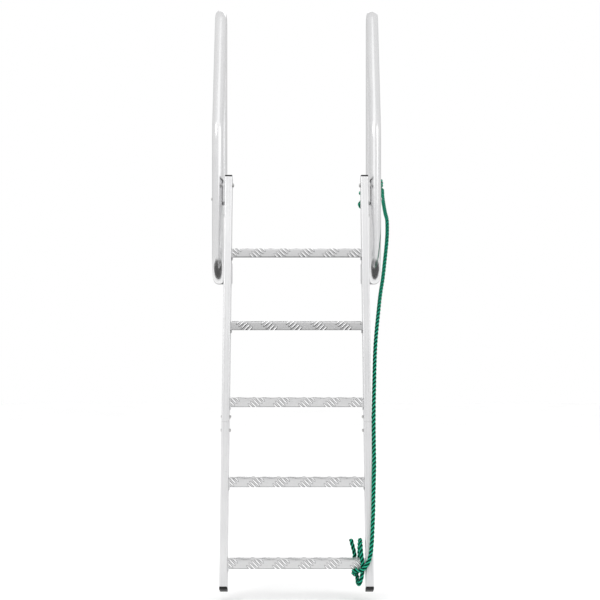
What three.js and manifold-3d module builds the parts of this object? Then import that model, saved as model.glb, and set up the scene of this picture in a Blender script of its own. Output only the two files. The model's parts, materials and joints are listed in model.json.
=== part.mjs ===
// Folding bathing ladder for a jetty, in millimetres, +Z up.
// The origin is on the jetty's top front edge, midway between the handrails: the deck is z = 0, the
// jetty's front face is y = 0, and the water is on the -Y side. Left is -X, seen from the water.
// Two bent tube handrails stand on the deck and are screwed to the jetty's front. Between them hangs
// a five-step ladder on two pivot bolts. It leans out over the water against two stop sleeves, and a
// rope from the right handrail to the bottom step pulls it up.
import * as THREE from "three";
import { mergeVertices } from "three/addons/utils/BufferGeometryUtils.js";
import Module from "manifold-3d";

const wasm = await Module();
wasm.setup();

const GAP = 0.3; // air between pieces that touch on the real ladder

// Handrails: round tube, bent in the plane of y and z.
const RAIL_X = 270; // from the middle to the centre of each tube
const TUBE_R = 20;
const TUBE_WALL = 2.5;
const TUBE_SIDES = 20;
const BORE_SIDES = 12;
const FRONT_LEG_Y = -110;
const REAR_LEG_Y = 172;
const TOP_BEND_R = 45; // of the tube's centre line, as for the two bends below
const TOP_BEND_Z = 672; // centre of the top bend
const BOTTOM_BEND_R = 80;
const BOTTOM_RUN_Z = -224;
const KINK_R = 135;
const RAIL_SLOPE = THREE.MathUtils.degToRad(25.5); // how far the upper front leg leans back

// Plates that fasten the handrails to the jetty.
const DOCK_PLATE = { inner: 224, high: -170, past_tube: 1.5, corner: 6, thick: 5, hole_r: 4.5 };
const DOCK_HOLES = [[237, -184], [237, -236], [278, -184]];
const FOOT_PLATE = { half_width: 29, half_length: 50, thick: 6, hole_r: 5, hole_from_tube: 36 };

// The ladder's hinge. The pivot bolt is in front of the handrail's leg, and the stop bolt goes
// through the leg and carries a sleeve behind the stile.
const PIVOT = { y: -136, z: 91 };
const STOP = { y: FRONT_LEG_Y, z: 46 };
const HINGE_PLATE = { inner: 244.2, outer: 249.2, pivot_r: 16, stop_r: 20, toe: { y: -134, z: 40, r: 18 } };
const PIVOT_HEAD = { r: 7, high: 3.5 };
const M8_R = 4;
const M8_NUT_R = 7.5; // to the corners of the hexagon
const M6_R = 3;
const M6_NUT_R = 6.2;
const STOP_HEAD = { r: 5.5, high: 2.6 };
const STOP_SLEEVE = { r: 7.7, inner: 230.2 };
const STOP_BOLT_END = 222;

// The ladder hangs from the pivot, with its foot out over the water. Its own frame has y across the
// stile's depth and z along the stile, with the pivot at zero.
const LEAN = THREE.MathUtils.degToRad(17);
const STILE = { inner: 218.5, outer: 243.5, depth: 60, wall: 2, corner: 3 };
const STILE_TOP = 22;
const STILE_BOTTOM = -1360;
const SPLICE = { at: -830, half_length: 80, bolt_from_joint: 22.5, wall: 3 };
const SPLICE_HEAD = { r: 5.5, high: 3.3 };
const CAP = { top_rim: 6, bottom_rim: 10, plug: 14 };

// Steps: folded channels with level treads.
const STEP_TOPS = [-128, -371.5, -620.5, -872.5, -1121.8];
const STEP = { depth: 54, flange: 28, thick: 3, bend: 5 };
const BRACKET = { thick: 3, below_flange: 10 };

// Rope: its line runs down beside the ladder, from a hitch on the rear leg to one on the last step.
const ROPE_R = 6;
const ROPE_SIDES = 8;
const HITCH = { across: 39, along: 28 }; // half-widths of a turn round the leg, along x and y

const SIDES = [["left", -1], ["right", 1]];
const ladderGroup = new THREE.Group();
ladderGroup.position.set(0, PIVOT.y, PIVOT.z);
ladderGroup.rotation.x = -LEAN;
const root = new THREE.Group();
root.add(ladderGroup);

const finishes = {
  tube: { color: 0xd3d5d8, roughness: 0.35, metalness: 0.9 },
  plate: { color: 0xb9bcc0, roughness: 0.45, metalness: 0.9 },
  extrusion: { color: 0xdadcdf, roughness: 0.4, metalness: 0.85 },
  checkerPlate: { color: 0xc4c6ca, roughness: 0.5, metalness: 0.85 },
  steel: { color: 0x9b9da0, roughness: 0.3, metalness: 1 },
  blackPlastic: { color: 0x111113, roughness: 0.6, metalness: 0 },
  whitePlastic: { color: 0xe6e6e2, roughness: 0.5, metalness: 0 },
  rope: { color: 0x127654, roughness: 0.7, metalness: 0 },
};

// A closed geometry as a solid that can be joined and cut.
function solidOf(geometry) {
  const bare = geometry.index ? geometry.toNonIndexed() : geometry.clone();
  bare.deleteAttribute("normal");
  bare.deleteAttribute("uv");
  const merged = mergeVertices(bare, 1e-4);
  const mesh = new wasm.Mesh({
    numProp: 3,
    vertProperties: merged.attributes.position.array,
    triVerts: new Uint32Array(merged.index.array),
  });
  return new wasm.Manifold(mesh);
}

function geometryOf(solid) {
  const mesh = solid.getMesh();
  const geometry = new THREE.BufferGeometry();
  geometry.setAttribute("position", new THREE.BufferAttribute(mesh.vertProperties, 3));
  geometry.setIndex(new THREE.BufferAttribute(mesh.triVerts, 1));
  geometry.computeVertexNormals();
  return geometry;
}

// One named piece of the ladder: its geometry, joined with and cut by others where they are given.
function addPiece(group, name, finish, geometry, { joined = [], cuts = [] } = {}) {
  let solid = solidOf(geometry);
  for (const other of joined) solid = solid.add(solidOf(other));
  for (const cut of cuts) solid = solid.subtract(solidOf(cut));
  const mesh = new THREE.Mesh(geometryOf(solid), new THREE.MeshStandardMaterial(finishes[finish]));
  mesh.name = name;
  group.add(mesh);
}

// The outline is drawn in y and z, and made solid between two distances from the middle on one side.
const ACROSS = new THREE.Matrix4().makeBasis(
  new THREE.Vector3(0, 1, 0),
  new THREE.Vector3(0, 0, 1),
  new THREE.Vector3(1, 0, 0),
);

function acrossX(outline, side, inner, outer, curveSegments = 10) {
  const low = side > 0 ? inner : -outer;
  return new THREE.ExtrudeGeometry(outline, { depth: outer - inner, bevelEnabled: false, curveSegments })
    .applyMatrix4(ACROSS)
    .translate(low, 0, 0);
}

// A turned piece on a line parallel to X. The profile lists a radius and a distance from the middle.
function turned(profile, side, y, z, segments = 16) {
  const points = profile.map(([radius, distance]) => new THREE.Vector2(radius, distance));
  return new THREE.LatheGeometry(points, segments)
    .rotateZ((-side * Math.PI) / 2)
    .translate(0, y, z);
}

function rod(radius, side, inner, outer, y, z, segments = 16) {
  return turned([[0, inner], [radius, inner], [radius, outer], [0, outer]], side, y, z, segments);
}

// A round-headed bolt along X, with its head outermost and slightly domed.
function bolt(side, shankR, end, head, headFrom, y, z) {
  const dome = [[head.r, 0.35], [head.r * 0.8, 0.75], [head.r * 0.42, 0.96]];
  const profile = [
    [0, end],
    [shankR, end],
    [shankR, headFrom],
    [head.r, headFrom],
    ...dome.map(([radius, part]) => [radius, headFrom + part * head.high]),
    [0, headFrom + head.high],
  ];
  return turned(profile, side, y, z);
}

function hexagon(radius, hole) {
  const corners = [];
  for (let i = 0; i < 6; i++) {
    const angle = (i * Math.PI) / 3;
    corners.push(new THREE.Vector2(radius * Math.cos(angle), radius * Math.sin(angle)));
  }
  const shape = new THREE.Shape(corners);
  shape.holes.push(new THREE.Path().absarc(0, 0, hole, 0, 2 * Math.PI));
  return shape;
}

function ring(radius, hole) {
  const shape = new THREE.Shape().absarc(0, 0, radius, 0, 2 * Math.PI);
  shape.holes.push(new THREE.Path().absarc(0, 0, hole, 0, 2 * Math.PI));
  return shape;
}

// A nut, washer, sleeve or bush on a bolt along X.
function onBolt(outline, side, inner, outer, y, z) {
  return acrossX(outline, side, inner, outer, 8).translate(0, y, z);
}

function roundedRectangle(Kind, width, length, corner) {
  const right = width / 2;
  const top = length / 2;
  const path = new Kind();
  path.absarc(right - corner, top - corner, corner, 0, Math.PI / 2);
  path.absarc(corner - right, top - corner, corner, Math.PI / 2, Math.PI);
  path.absarc(corner - right, corner - top, corner, Math.PI, 1.5 * Math.PI);
  path.absarc(right - corner, corner - top, corner, 1.5 * Math.PI, 2 * Math.PI);
  path.closePath();
  return path;
}

// A rectangular bar or tube along z, between two heights, with its middle at x and y = 0.
function upright(width, depth, corner, wall, x, low, high) {
  const outline = roundedRectangle(THREE.Shape, width, depth, corner);
  if (wall > 0) {
    const bore = roundedRectangle(THREE.Path, width - 2 * wall, depth - 2 * wall, corner / 2);
    outline.holes.push(bore);
  }
  return new THREE.ExtrudeGeometry(outline, { depth: high - low, bevelEnabled: false, curveSegments: 2 })
    .translate(x, 0, low);
}

// A curve that stops only at its given stations, so straight stretches take a single step.
class StationPath extends THREE.Curve {
  constructor(stations) {
    super();
    this.stations = stations;
  }

  stationAt(u) {
    return this.stations[Math.round(u * (this.stations.length - 1))];
  }

  getPointAt(u) {
    return this.stationAt(u).point.clone();
  }

  getTangentAt(u) {
    return this.stationAt(u).tangent.clone();
  }
}

// Stations of a round bend in the plane of y and z. Angles run from the y axis towards z.
function bendStations(x, centreY, centreZ, radius, from, to, steps) {
  const stations = [];
  const turn = Math.sign(to - from);
  for (let i = 0; i <= steps; i++) {
    const angle = from + ((to - from) * i) / steps;
    const outward = new THREE.Vector3(0, Math.cos(angle), Math.sin(angle));
    const point = outward.clone().multiplyScalar(radius).add(new THREE.Vector3(x, centreY, centreZ));
    const tangent = new THREE.Vector3(0, -Math.sin(angle), Math.cos(angle)).multiplyScalar(turn);
    stations.push({ point, tangent });
  }
  return stations;
}

// The handrail's centre line, from the jetty's front round to the deck.
function railStations(x) {
  const back = new THREE.Vector3(0, -1, 0);
  const down = new THREE.Vector3(0, 0, -1);
  const bottomCentreY = FRONT_LEG_Y + BOTTOM_BEND_R;
  const bottomCentreZ = BOTTOM_RUN_Z + BOTTOM_BEND_R;
  const topCentreY = REAR_LEG_Y - TOP_BEND_R;
  // The sloping part leaves the top bend here, and meets the line of the front leg lower down.
  const slopeTopY = topCentreY - TOP_BEND_R * Math.cos(RAIL_SLOPE);
  const slopeTopZ = TOP_BEND_Z + TOP_BEND_R * Math.sin(RAIL_SLOPE);
  const kinkZ = slopeTopZ - (slopeTopY - FRONT_LEG_Y) / Math.tan(RAIL_SLOPE);
  const kinkStartZ = kinkZ - KINK_R * Math.tan(RAIL_SLOPE / 2);
  return [
    { point: new THREE.Vector3(x, -DOCK_PLATE.thick - GAP, BOTTOM_RUN_Z), tangent: back },
    ...bendStations(x, bottomCentreY, bottomCentreZ, BOTTOM_BEND_R, -Math.PI / 2, -Math.PI, 8),
    ...bendStations(x, FRONT_LEG_Y + KINK_R, kinkStartZ, KINK_R, Math.PI, Math.PI - RAIL_SLOPE, 4),
    ...bendStations(x, topCentreY, TOP_BEND_Z, TOP_BEND_R, Math.PI - RAIL_SLOPE, 0, 12),
    { point: new THREE.Vector3(x, REAR_LEG_Y, FOOT_PLATE.thick + GAP), tangent: down },
  ];
}

function makeHandrail(word, side) {
  const stations = railStations(side * RAIL_X);
  const section = new THREE.Shape();
  section.setFromPoints(polygon(TUBE_R, TUBE_SIDES));
  section.holes.push(new THREE.Path(polygon(TUBE_R - TUBE_WALL, BORE_SIDES)));
  const tube = new THREE.ExtrudeGeometry(section, {
    steps: stations.length - 1,
    extrudePath: new StationPath(stations),
    bevelEnabled: false,
  });
  const boltHole = rod(M8_R + GAP, side, RAIL_X - 2 * TUBE_R, RAIL_X + 2 * TUBE_R, STOP.y, STOP.z);
  addPiece(root, `handrail_${word}`, "tube", tube, { cuts: [boltHole] });
}

function polygon(radius, sides) {
  const corners = [];
  for (let i = 0; i < sides; i++) {
    const angle = (2 * Math.PI * i) / sides;
    corners.push(new THREE.Vector2(radius * Math.cos(angle), radius * Math.sin(angle)));
  }
  return corners;
}

// A plate that stands against the jetty's front. Its outline is drawn in x and z.
const AGAINST_JETTY = new THREE.Matrix4().makeBasis(
  new THREE.Vector3(1, 0, 0),
  new THREE.Vector3(0, 0, 1),
  new THREE.Vector3(0, -1, 0),
);

// The plate follows the tube's own round below and outside it, and reaches inwards for two screws.
function makeDockPlate(word, side) {
  const { inner, high, past_tube: pastTube, corner, thick, hole_r: holeR } = DOCK_PLATE;
  const round = TUBE_R + pastTube;
  const low = BOTTOM_RUN_Z - round;
  const outer = RAIL_X + round;
  const outline = new THREE.Shape();
  outline.absarc(RAIL_X, BOTTOM_RUN_Z, round, -Math.PI / 2, 0);
  outline.absarc(outer - corner, high - corner, corner, 0, Math.PI / 2);
  outline.absarc(inner + corner, high - corner, corner, Math.PI / 2, Math.PI);
  outline.absarc(inner + corner, low + corner, corner, Math.PI, 1.5 * Math.PI);
  outline.closePath();
  for (const [x, z] of DOCK_HOLES) {
    outline.holes.push(new THREE.Path().absarc(x, z, holeR, 0, 2 * Math.PI));
  }
  const plate = new THREE.ExtrudeGeometry(outline, { depth: thick, bevelEnabled: false, curveSegments: 5 })
    .applyMatrix4(AGAINST_JETTY);
  if (side < 0) mirror(plate);
  addPiece(root, `dock_plate_${word}`, "plate", plate);
}

// Turns a right-hand geometry into its left-hand twin.
function mirror(geometry) {
  geometry.scale(-1, 1, 1);
  const position = geometry.attributes.position;
  for (let i = 0; i < position.count; i += 3) {
    const [x, y, z] = [position.getX(i), position.getY(i), position.getZ(i)];
    position.setXYZ(i, position.getX(i + 1), position.getY(i + 1), position.getZ(i + 1));
    position.setXYZ(i + 1, x, y, z);
  }
}

function makeFootPlate(word, side) {
  const { half_width: halfWidth, half_length: halfLength, thick, hole_r: holeR } = FOOT_PLATE;
  const outline = roundedRectangle(THREE.Shape, 2 * halfWidth, 2 * halfLength, 8);
  for (const away of [-FOOT_PLATE.hole_from_tube, FOOT_PLATE.hole_from_tube]) {
    outline.holes.push(new THREE.Path().absarc(0, away, holeR, 0, 2 * Math.PI));
  }
  const plate = new THREE.ExtrudeGeometry(outline, { depth: thick, bevelEnabled: false, curveSegments: 4 })
    .translate(side * RAIL_X, REAR_LEG_Y, 0);
  addPiece(root, `foot_plate_${word}`, "plate", plate);
}

// The outline round some circles, given anticlockwise: an arc of each, and the straight edges between.
function outlineRound(circles) {
  const leaving = circles.map((circle, i) => {
    const next = circles[(i + 1) % circles.length];
    const across = next.y - circle.y;
    const up = next.z - circle.z;
    return Math.atan2(up, across) - Math.acos((circle.r - next.r) / Math.hypot(across, up));
  });
  const outline = new THREE.Shape();
  circles.forEach((circle, i) => {
    const arriving = leaving[(i + circles.length - 1) % circles.length];
    outline.absarc(circle.y, circle.z, circle.r, arriving, leaving[i]);
  });
  outline.closePath();
  return outline;
}

function makeHinge(word, side) {
  const { inner, outer, pivot_r: pivotR, stop_r: stopR, toe } = HINGE_PLATE;
  const outline = outlineRound([{ ...PIVOT, r: pivotR }, toe, { ...STOP, r: stopR }]);
  const plate = acrossX(outline, side, inner, outer);
  const pivotHole = rod(M8_R + GAP, side, inner - 1, outer + 1, PIVOT.y, PIVOT.z);
  const stopHole = rod(M8_R + GAP, side, inner - 1, outer + 1, STOP.y, STOP.z);
  addPiece(root, `hinge_plate_${word}`, "plate", plate, { cuts: [pivotHole, stopHole] });

  // The pivot bolt passes through the plate and the stile, and is held by a nut inside the ladder.
  const washerOuter = STILE.inner - GAP;
  const nutOuter = washerOuter - 1.2 - GAP;
  const nutInner = nutOuter - 3.2;
  const pivot = bolt(side, M8_R, nutInner - 0.5, PIVOT_HEAD, outer + GAP, PIVOT.y, PIVOT.z);
  const washer = ring(8, M8_R + GAP);
  const nut = hexagon(M8_NUT_R, M8_R + GAP);
  addPiece(root, `pivot_bolt_${word}`, "steel", pivot);
  addPiece(root, `pivot_washer_${word}`, "steel",
    onBolt(washer, side, nutOuter + GAP, washerOuter, PIVOT.y, PIVOT.z));
  addPiece(root, `pivot_nut_${word}`, "steel", onBolt(nut, side, nutInner, nutOuter, PIVOT.y, PIVOT.z));

  // The bush is on the pivot bolt, between the two walls of the stile.
  const bush = ring(8, M8_R + GAP);
  const bushInner = STILE.inner + STILE.wall + GAP;
  const bushOuter = STILE.outer - STILE.wall - GAP;
  const placedBush = onBolt(bush, side, bushInner, bushOuter, 0, 0);
  addPiece(ladderGroup, `pivot_bush_${word}`, "whitePlastic", placedBush);
}

// The stop bolt goes through the front leg and the hinge plate, and ends in a sleeve and a nut.
function makeStop(word, side) {
  const headFrom = RAIL_X + TUBE_R + GAP;
  const stopBolt = bolt(side, M8_R, STOP_BOLT_END, STOP_HEAD, headFrom, STOP.y, STOP.z);
  addPiece(root, `stop_bolt_${word}`, "steel", stopBolt);
  const sleeveOuter = HINGE_PLATE.inner - GAP;
  const sleeve = ring(STOP_SLEEVE.r, M8_R + GAP);
  addPiece(root, `stop_sleeve_${word}`, "whitePlastic",
    onBolt(sleeve, side, STOP_SLEEVE.inner, sleeveOuter, STOP.y, STOP.z));
  const nut = hexagon(M8_NUT_R, M8_R + GAP);
  addPiece(root, `stop_nut_${word}`, "steel",
    onBolt(nut, side, STOP_BOLT_END + 1, STOP_SLEEVE.inner - GAP, STOP.y, STOP.z));
}

// Each stile is in two lengths, joined by a sleeve inside them and a bolt on each side of the joint.
function makeStile(word, side) {
  const x = (side * (STILE.inner + STILE.outer)) / 2;
  const width = STILE.outer - STILE.inner;
  const { at, half_length: halfLength, bolt_from_joint: fromJoint } = SPLICE;
  const stile = (low, high) => upright(width, STILE.depth, STILE.corner, STILE.wall, x, low, high);
  const hole = (radius, z) => rod(radius + GAP, side, STILE.inner - 2, STILE.outer + 2, 0, z);
  const upperHoles = [hole(M8_R, 0), hole(M6_R, at + fromJoint)];
  const lowerHoles = [hole(M6_R, at - fromJoint)];
  addPiece(ladderGroup, `upper_stile_${word}`, "extrusion", stile(at + GAP / 2, STILE_TOP), {
    cuts: upperHoles,
  });
  addPiece(ladderGroup, `lower_stile_${word}`, "extrusion", stile(STILE_BOTTOM, at - GAP / 2), {
    cuts: lowerHoles,
  });

  const innerWidth = width - 2 * (STILE.wall + GAP);
  const innerDepth = STILE.depth - 2 * (STILE.wall + GAP);
  const corner = STILE.corner / 2;
  const sleeve = upright(innerWidth, innerDepth, corner, SPLICE.wall, x, at - halfLength, at + halfLength);
  addPiece(ladderGroup, `splice_sleeve_${word}`, "extrusion", sleeve, {
    cuts: [hole(M6_R, at + fromJoint), hole(M6_R, at - fromJoint)],
  });
  const nutOuter = STILE.inner - GAP;
  const nutInner = nutOuter - 4.4;
  for (const [level, z] of [["upper", at + fromJoint], ["lower", at - fromJoint]]) {
    const spliceBolt = bolt(side, M6_R, nutInner - 0.8, SPLICE_HEAD, STILE.outer + GAP, 0, z);
    const nut = hexagon(M6_NUT_R, M6_R + GAP);
    addPiece(ladderGroup, `splice_bolt_${level}_${word}`, "steel", spliceBolt);
    const placedNut = onBolt(nut, side, nutInner, nutOuter, 0, z);
    addPiece(ladderGroup, `splice_nut_${level}_${word}`, "steel", placedNut);
  }

  // Plastic caps close both ends. Each has a rim as wide as the stile and a plug inside it.
  const cap = (rimLow, rimHigh, plugLow, plugHigh) => [
    upright(width, STILE.depth, STILE.corner, 0, x, rimLow, rimHigh),
    upright(innerWidth, innerDepth, corner, 0, x, plugLow, plugHigh),
  ];
  const overTop = STILE_TOP + GAP;
  const underBottom = STILE_BOTTOM - GAP;
  const [topRim, topPlug] = cap(overTop, STILE_TOP + CAP.top_rim, STILE_TOP - CAP.plug / 2, overTop + 1);
  const [bottomRim, bottomPlug] = cap(
    STILE_BOTTOM - CAP.bottom_rim, underBottom, underBottom - 1, STILE_BOTTOM + CAP.plug,
  );
  addPiece(ladderGroup, `top_cap_${word}`, "blackPlastic", topRim, { joined: [topPlug] });
  addPiece(ladderGroup, `bottom_cap_${word}`, "blackPlastic", bottomRim, { joined: [bottomPlug] });
}

// Where a step is, in the jetty's frame. Its front is flush with the stiles' front at the tread.
function stepPlace(index) {
  const topZ = STEP_TOPS[index];
  const stileMiddleY = PIVOT.y + (topZ - PIVOT.z) * Math.tan(LEAN);
  const frontY = stileMiddleY - STILE.depth / (2 * Math.cos(LEAN)) + GAP;
  return { frontY, rearY: frontY + STEP.depth, topZ, bottomZ: topZ - STEP.flange };
}

// A channel, folded down at the front and at the rear.
function channelOutline({ frontY, rearY, topZ, bottomZ }) {
  const { thick, bend } = STEP;
  const outline = new THREE.Shape();
  outline.moveTo(frontY, bottomZ);
  outline.absarc(frontY + bend, topZ - bend, bend, Math.PI, Math.PI / 2, true);
  outline.absarc(rearY - bend, topZ - bend, bend, Math.PI / 2, 0, true);
  outline.lineTo(rearY, bottomZ);
  outline.lineTo(rearY - thick, bottomZ);
  outline.absarc(rearY - bend, topZ - bend, bend - thick, 0, Math.PI / 2);
  outline.absarc(frontY + bend, topZ - bend, bend - thick, Math.PI / 2, Math.PI);
  outline.lineTo(frontY + thick, bottomZ);
  outline.closePath();
  return outline;
}

// The bracket closes the channel's end and reaches below its front flange, on the stile's inner face.
function bracketOutline({ frontY, rearY, topZ, bottomZ }) {
  const inset = 1.5;
  const footZ = bottomZ - BRACKET.below_flange;
  return new THREE.Shape([
    new THREE.Vector2(frontY + inset, topZ - 4),
    new THREE.Vector2(frontY + inset + 3, topZ - inset),
    new THREE.Vector2(rearY - inset - 3, topZ - inset),
    new THREE.Vector2(rearY - inset, topZ - 4),
    new THREE.Vector2(rearY - inset, bottomZ + 4),
    new THREE.Vector2(rearY - 16, footZ),
    new THREE.Vector2(frontY + 8, footZ),
    new THREE.Vector2(frontY + inset, bottomZ),
  ]);
}

function makeStep(index) {
  const place = stepPlace(index);
  const bracketOuter = STILE.inner - GAP;
  const bracketInner = bracketOuter - BRACKET.thick;
  const halfLength = bracketInner - GAP;
  const channel = new THREE.ExtrudeGeometry(channelOutline(place), {
    depth: 2 * halfLength,
    bevelEnabled: false,
    curveSegments: 3,
  })
    .applyMatrix4(ACROSS)
    .translate(-halfLength, 0, 0);
  addPiece(root, `step_${index + 1}`, "checkerPlate", channel);
  for (const [word, side] of SIDES) {
    const bracket = acrossX(bracketOutline(place), side, bracketInner, bracketOuter);
    addPiece(root, `step_bracket_${index + 1}_${word}`, "plate", bracket);
  }
}

// The line's route, from the hitch on the rear leg, past the front leg and down the right stile.
const LINE_ROUTE = [
  [309, 171.9, 97],
  [308.5, 150, 89],
  [307.2, 110, 70],
  [308, 40, 33],
  [310, -20, 1],
  [313, -64, -23],
  [312.8, -86, -54],
  [310, -112, -92],
  [300, -150, -172],
  [292, -178, -229],
  [282.5, -212, -279],
  [276, -240, -322],
  [261.5, -296, -448],
  [254.5, -354, -580],
  [250.8, -397, -690],
  [250.2, -425, -774],
  [250, -447, -825],
  [248, -468, -872],
  [245.8, -487, -922],
  [244, -506, -970],
  [240.5, -529, -1026],
  [237.5, -545, -1066],
  [231.5, -554, -1109],
  [222.5, -557.5, -1132],
  [212.5, -557.6, -1145],
];

// From the line's end: across the last step's front, under it and up behind, over the tread and down
// in front, then through a hanging bight to the tail that stands up behind the step.
const STEP_HITCH_ROUTE = [
  [212.2, -557.6, -1145.4],
  [208.7, -557.6, -1149.6],
  [203, -557.4, -1151.8],
  [197, -557, -1152.8],
  [190, -555.5, -1152.3],
  [183.8, -551.5, -1152],
  [180, -545.5, -1155.5],
  [179.5, -541, -1161],
  [182, -536, -1166.5],
  [188, -524, -1168],
  [193, -508, -1165],
  [197, -490, -1161],
  [200, -476, -1154],
  [201, -471, -1140],
  [201, -471.5, -1118],
  [201, -474, -1094],
  [201.5, -485, -1072],
  [202.2, -508, -1063],
  [202.8, -531, -1073],
  [203.5, -543, -1093],
  [205.5, -544.6, -1112],
  [208, -544.8, -1132],
  [208.5, -544.8, -1150],
  [206.5, -545, -1168],
  [203, -544, -1184],
  [199.5, -539, -1195],
  [196, -528, -1199.5],
  [194, -517, -1194],
  [193.5, -507, -1184],
  [192.5, -496, -1177],
  [189.5, -484, -1172],
  [186, -472, -1164],
  [184, -463, -1152],
  [184.5, -461, -1136],
  [186.3, -461, -1118],
  [181.5, -459, -1095],
  [174, -456, -1067],
];

// The hitch on the rear leg. Each entry is an angle round the leg from +X towards the jetty, how far
// the rope rides outside a plain turn, and its height.
const RAIL_HITCH_TURNS = [
  [3, 0, 97.6],
  [14, 0, 99],
  [45, 0, 98],
  [90, 0, 93],
  [135, 0, 89],
  [180, 0, 86],
  [225, 0, 90],
  [270, 0, 97],
  [315, 0, 104],
  [340, -2, 110],
  [360, -3, 121],
  [380, -2, 131],
  [405, 0, 134],
  [435, 2, 128],
  [460, 7, 117],
  [478, 12, 103],
  [490, 13, 88],
  [490, 10, 74],
  [495, 5, 63],
  [508, 2, 56],
  [525, 2.5, 50],
  [540, 3, 43],
  [555, 2, 37],
  [570, 0, 33],
];

function railHitchRoute() {
  return RAIL_HITCH_TURNS.map(([degrees, outside, z]) => {
    const angle = THREE.MathUtils.degToRad(degrees);
    const x = RAIL_X + (HITCH.across + outside) * Math.cos(angle);
    const y = REAR_LEG_Y + (HITCH.along + outside) * Math.sin(angle);
    return [x, y, z];
  });
}

function makeRope(name, route, steps) {
  const centreLine = new THREE.CatmullRomCurve3(route.map((point) => new THREE.Vector3(...point)));
  const rope = new THREE.ExtrudeGeometry(new THREE.Shape(polygon(ROPE_R, ROPE_SIDES)), {
    steps,
    extrudePath: centreLine,
    bevelEnabled: false,
  });
  addPiece(root, name, "rope", rope);
}

for (const [word, side] of SIDES) {
  makeHandrail(word, side);
  makeDockPlate(word, side);
  makeFootPlate(word, side);
  makeHinge(word, side);
  makeStop(word, side);
  makeStile(word, side);
}
for (let index = 0; index < STEP_TOPS.length; index++) makeStep(index);
makeRope("rope_line", LINE_ROUTE, 30);
makeRope("rope_step_hitch", STEP_HITCH_ROUTE, 34);
makeRope("rope_rail_hitch", railHitchRoute(), 30);

export default root;
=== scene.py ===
import json
import math
import random

import bmesh
import bpy
import numpy as np
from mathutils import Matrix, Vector, geometry


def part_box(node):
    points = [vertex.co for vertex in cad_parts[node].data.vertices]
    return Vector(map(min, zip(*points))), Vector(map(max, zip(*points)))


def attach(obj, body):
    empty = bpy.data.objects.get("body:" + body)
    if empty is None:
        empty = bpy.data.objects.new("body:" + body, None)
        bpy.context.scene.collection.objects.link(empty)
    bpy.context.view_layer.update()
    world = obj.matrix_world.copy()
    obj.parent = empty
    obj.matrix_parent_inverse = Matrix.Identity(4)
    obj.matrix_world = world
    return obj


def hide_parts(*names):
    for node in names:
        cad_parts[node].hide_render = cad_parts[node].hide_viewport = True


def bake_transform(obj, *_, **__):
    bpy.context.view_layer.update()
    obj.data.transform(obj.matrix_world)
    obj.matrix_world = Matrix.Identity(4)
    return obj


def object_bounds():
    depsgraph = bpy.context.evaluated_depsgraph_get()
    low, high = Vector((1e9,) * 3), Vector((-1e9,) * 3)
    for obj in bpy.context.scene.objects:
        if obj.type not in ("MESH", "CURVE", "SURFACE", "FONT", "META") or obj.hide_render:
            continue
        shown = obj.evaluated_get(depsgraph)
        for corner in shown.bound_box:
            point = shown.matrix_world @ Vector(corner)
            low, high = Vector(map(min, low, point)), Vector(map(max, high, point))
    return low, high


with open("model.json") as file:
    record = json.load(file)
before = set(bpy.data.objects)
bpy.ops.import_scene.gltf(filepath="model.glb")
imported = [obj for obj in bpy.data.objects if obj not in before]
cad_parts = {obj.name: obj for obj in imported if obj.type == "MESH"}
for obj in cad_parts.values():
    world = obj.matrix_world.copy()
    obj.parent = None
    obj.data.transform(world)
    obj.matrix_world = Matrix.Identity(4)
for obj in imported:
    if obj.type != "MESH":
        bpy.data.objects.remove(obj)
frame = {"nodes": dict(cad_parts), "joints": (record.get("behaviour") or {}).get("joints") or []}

MM = 0.001
cad_low, cad_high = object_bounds()
SIDES = (("left", -1), ("right", 1))
dice = random.Random(7)

# The ladder's own frame: it hangs from the pivot and leans out over the water.
PIVOT = Vector(frame["joints"][0]["pos_m"])
LEAN = math.radians(17)

# Handrail bends, along the tube's centre line.
TOP_BEND_R = 45 * MM
BOTTOM_BEND_R = 80 * MM
KINK_R = 135 * MM
RAIL_SLOPE = math.radians(25.5)
BEND_STEP = math.radians(3)
TUBE_SIDES = 48

# Welds round the tubes, and holes in the plates.
BEAD_STEPS = 150
HOLE_SIDES = 32
BOLT_HOLE_R = 4.3 * MM  # for an M8 bolt

# Checker plate: groups of five raised bars, laid over the sheet before it is folded.
FOLD_R = 5 * MM
SHEET_THICK = 3 * MM
BAR = {"length": 36 * MM, "width": 9 * MM, "high": 1.4 * MM, "apart": 10.8 * MM, "in_group": 5}
GROUP_PITCH = 82 * MM
GROUP_ACROSS = 33 * MM  # a group's middle, from the ladder's middle
GROUP_UP = 15 * MM  # a group's middle, from the front flange's lower edge

# Rope: three strands laid right-handed.
ROPE_LAY = 43 * MM
STRAND_R = 3.3 * MM
STRAND_OFF = 3.65 * MM
STRAND_SIDES = 14  # sides of a strand's cross-section
LUMP = {"share": 0.012, "turn": 331}  # how uneven a strand is, over so many radians a metre
ROPE_STEP = 1.8 * MM
YARNS = 7
SPAN_POINTS = 24  # points of the curve between two points of a route


def add_object(name, data):
    obj = bpy.data.objects.new(name, data)
    bpy.context.scene.collection.objects.link(obj)
    return obj


# ------------ camera

def make_camera():
    data = bpy.data.cameras.new("camera")
    data.lens = 94.5
    data.shift_x = 0.00575
    camera = add_object("camera", data)
    camera.location = (0, -5.514, -0.300)
    camera.rotation_euler = (math.radians(90), 0, 0)
    bpy.context.scene.camera = camera


# ------------ materials

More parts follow.
